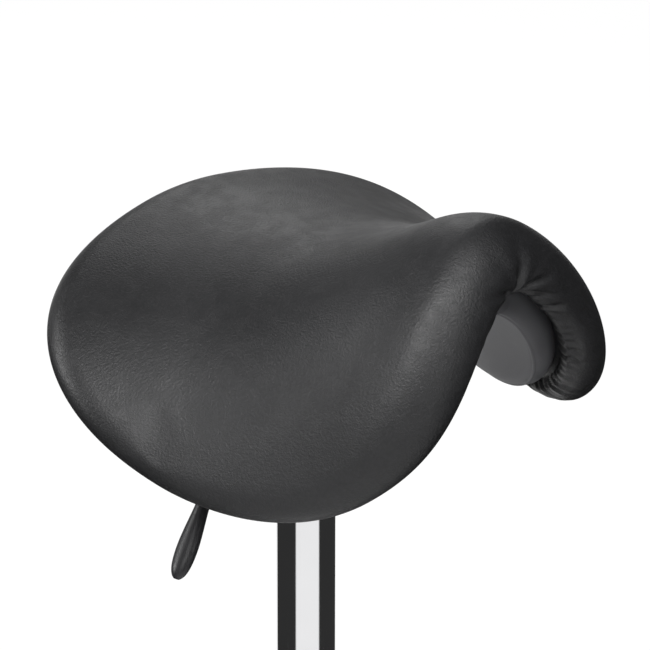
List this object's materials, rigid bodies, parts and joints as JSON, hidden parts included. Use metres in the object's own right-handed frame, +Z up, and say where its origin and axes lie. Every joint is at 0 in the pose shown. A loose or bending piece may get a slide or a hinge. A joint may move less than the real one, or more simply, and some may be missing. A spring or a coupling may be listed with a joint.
{
  "type": "saddle stool",
  "caption": "Saddle stool: arched black padded saddle seat with rolled rim, on a chromed gas-lift column with height lever and a star base on twin-wheel casters.",
  "frame": {"origin": "on the floor, under the column's axis, with the seat at its lowest", "axes": "+Z up along the column, -Y towards the saddle's raised front, +X to the right of someone who looks along +Y; in metres"},
  "size_m": [0.5506, 0.5473, 0.6209],
  "materials": {
    "leatherette": "black fine-grained leatherette, slight sheen",
    "foam": "open-cell foam, hidden",
    "ply": "birch ply, hidden",
    "pan_plastic": "dark grey moulded plastic, fine texture",
    "zinc_steel": "bright zinc",
    "black_screws": "blackened",
    "black_steel": "black powder coat",
    "black_plastic": "black satin",
    "chromed_steel": "polished chrome plate",
    "bush_plastic": "black",
    "bright_steel": "ground steel, hidden",
    "buffer_rubber": "black",
    "wheel_plastic": "black nylon"
  },
  "bodies": {
    "base": {"base_hub": "chromed_steel", "base_arm_1": "chromed_steel", "base_arm_2": "chromed_steel", "base_arm_3": "chromed_steel", "base_arm_4": "chromed_steel", "base_arm_5": "chromed_steel", "outer_tube": "chromed_steel", "guide_bush": "bush_plastic", "tube_floor": "bright_steel", "bearing_lower_washer": "bright_steel", "bearing_cage": "bush_plastic", "bearing_balls": "bright_steel", "caster_stems": "zinc_steel", "stem_rings": "zinc_steel"},
    "spindle": {"piston_rod": "bright_steel", "piston": "bright_steel", "rod_clip": "zinc_steel", "clip_washer": "zinc_steel", "bearing_upper_washer": "bright_steel", "rubber_buffer": "buffer_rubber"},
    "seat": {"gas_cylinder": "black_steel", "rod_guide": "bright_steel", "taper_socket": "black_steel", "lever_ears": "black_steel", "lever_pin": "zinc_steel", "mounting_plate": "black_steel", "seat_bolts": "zinc_steel", "bolt_washers": "zinc_steel", "t_nuts": "zinc_steel", "mounting_block": "ply", "seat_shell": "ply", "seat_foam": "foam", "seat_cover": "leatherette", "underside_pan": "pan_plastic", "pan_screws": "black_screws"},
    "lever": {"lever_rod": "zinc_steel", "lever_grip": "black_plastic"},
    "valve": {"release_pin": "bright_steel"},
    "caster_1": {"caster_hood_1": "black_plastic", "caster_axle_1": "zinc_steel"},
    "wheel_left_1": {"wheel_left_1": "wheel_plastic"},
    "wheel_right_1": {"wheel_right_1": "wheel_plastic"},
    "caster_2": {"caster_hood_2": "black_plastic", "caster_axle_2": "zinc_steel"},
    "wheel_left_2": {"wheel_left_2": "wheel_plastic"},
    "wheel_right_2": {"wheel_right_2": "wheel_plastic"},
    "caster_3": {"caster_hood_3": "black_plastic", "caster_axle_3": "zinc_steel"},
    "wheel_left_3": {"wheel_left_3": "wheel_plastic"},
    "wheel_right_3": {"wheel_right_3": "wheel_plastic"},
    "caster_4": {"caster_hood_4": "black_plastic", "caster_axle_4": "zinc_steel"},
    "wheel_left_4": {"wheel_left_4": "wheel_plastic"},
    "wheel_right_4": {"wheel_right_4": "wheel_plastic"},
    "caster_5": {"caster_hood_5": "black_plastic", "caster_axle_5": "zinc_steel"},
    "wheel_left_5": {"wheel_left_5": "wheel_plastic"},
    "wheel_right_5": {"wheel_right_5": "wheel_plastic"}
  },
  "joints": [
    {"name": "seat_swivel", "type": "hinge", "parent": "base", "child": "spindle", "pos_m": [0, 0, 0.0675], "axis": [0, 0, 1], "continuous": true},
    {"name": "seat_height", "type": "slide", "parent": "spindle", "child": "seat", "axis": [0, 0, 1], "range_m": [0, 0.2]},
    {"name": "lever_lift", "type": "hinge", "parent": "seat", "child": "lever", "pos_m": [-0.0259, -0.00227, 0.4915], "axis": [-0.0872, 0.9962, 0], "range_deg": [0, 6], "stiffness_Nm_per_rad": 10},
    {"name": "release_press", "type": "slide", "parent": "seat", "child": "valve", "axis": [0, 0, -1], "range_m": [0, 0.0028]},
    {"name": "caster_swivel_1", "type": "hinge", "parent": "base", "child": "caster_1", "pos_m": [0.2454, 0.01716, 0.053], "axis": [0, 0, 1], "continuous": true},
    {"name": "wheel_left_spin_1", "type": "hinge", "parent": "caster_1", "child": "wheel_left_1", "pos_m": [0.25257, 0.03583, 0.025], "axis": [-0.9336, 0.3584, 0], "continuous": true},
    {"name": "wheel_right_spin_1", "type": "hinge", "parent": "caster_1", "child": "wheel_right_1", "pos_m": [0.25257, 0.03583, 0.025], "axis": [-0.9336, 0.3584, 0], "continuous": true},
    {"name": "caster_swivel_2", "type": "hinge", "parent": "base", "child": "caster_2", "pos_m": [0.05951, 0.23869, 0.053], "axis": [0, 0, 1], "continuous": true},
    {"name": "wheel_left_spin_2", "type": "hinge", "parent": "caster_2", "child": "wheel_left_2", "pos_m": [0.04397, 0.25128, 0.025], "axis": [-0.6293, -0.7771, 0], "continuous": true},
    {"name": "wheel_right_spin_2", "type": "hinge", "parent": "caster_2", "child": "wheel_right_2", "pos_m": [0.04397, 0.25128, 0.025], "axis": [-0.6293, -0.7771, 0], "continuous": true},
    {"name": "caster_swivel_3", "type": "hinge", "parent": "base", "child": "caster_3", "pos_m": [-0.20862, 0.13036, 0.053], "axis": [0, 0, 1], "continuous": true},
    {"name": "wheel_left_spin_3", "type": "hinge", "parent": "caster_3", "child": "wheel_left_3", "pos_m": [-0.22539, 0.11947, 0.025], "axis": [0.5446, -0.8387, 0], "continuous": true},
    {"name": "wheel_right_spin_3", "type": "hinge", "parent": "caster_3", "child": "wheel_right_3", "pos_m": [-0.22539, 0.11947, 0.025], "axis": [0.5446, -0.8387, 0], "continuous": true},
    {"name": "caster_swivel_4", "type": "hinge", "parent": "base", "child": "caster_4", "pos_m": [-0.18845, -0.15813, 0.053], "axis": [0, 0, 1], "continuous": true},
    {"name": "wheel_left_spin_4", "type": "hinge", "parent": "caster_4", "child": "wheel_left_4", "pos_m": [-0.18327, -0.17744, 0.025], "axis": [0.9659, 0.2588, 0], "continuous": true},
    {"name": "wheel_right_spin_4", "type": "hinge", "parent": "caster_4", "child": "wheel_right_4", "pos_m": [-0.18327, -0.17744, 0.025], "axis": [0.9659, 0.2588, 0], "continuous": true},
    {"name": "caster_swivel_5", "type": "hinge", "parent": "base", "child": "caster_5", "pos_m": [0.09215, -0.22809, 0.053], "axis": [0, 0, 1], "continuous": true},
    {"name": "wheel_left_spin_5", "type": "hinge", "parent": "caster_5", "child": "wheel_left_5", "pos_m": [0.11213, -0.22913, 0.025], "axis": [0.0523, 0.9986, 0], "continuous": true},
    {"name": "wheel_right_spin_5", "type": "hinge", "parent": "caster_5", "child": "wheel_right_5", "pos_m": [0.11213, -0.22913, 0.025], "axis": [0.0523, 0.9986, 0], "continuous": true}
  ],
  "couplings": [
    {"joint": "release_press", "follows": "lever_lift", "m_per_rad": 0.026}
  ]
}
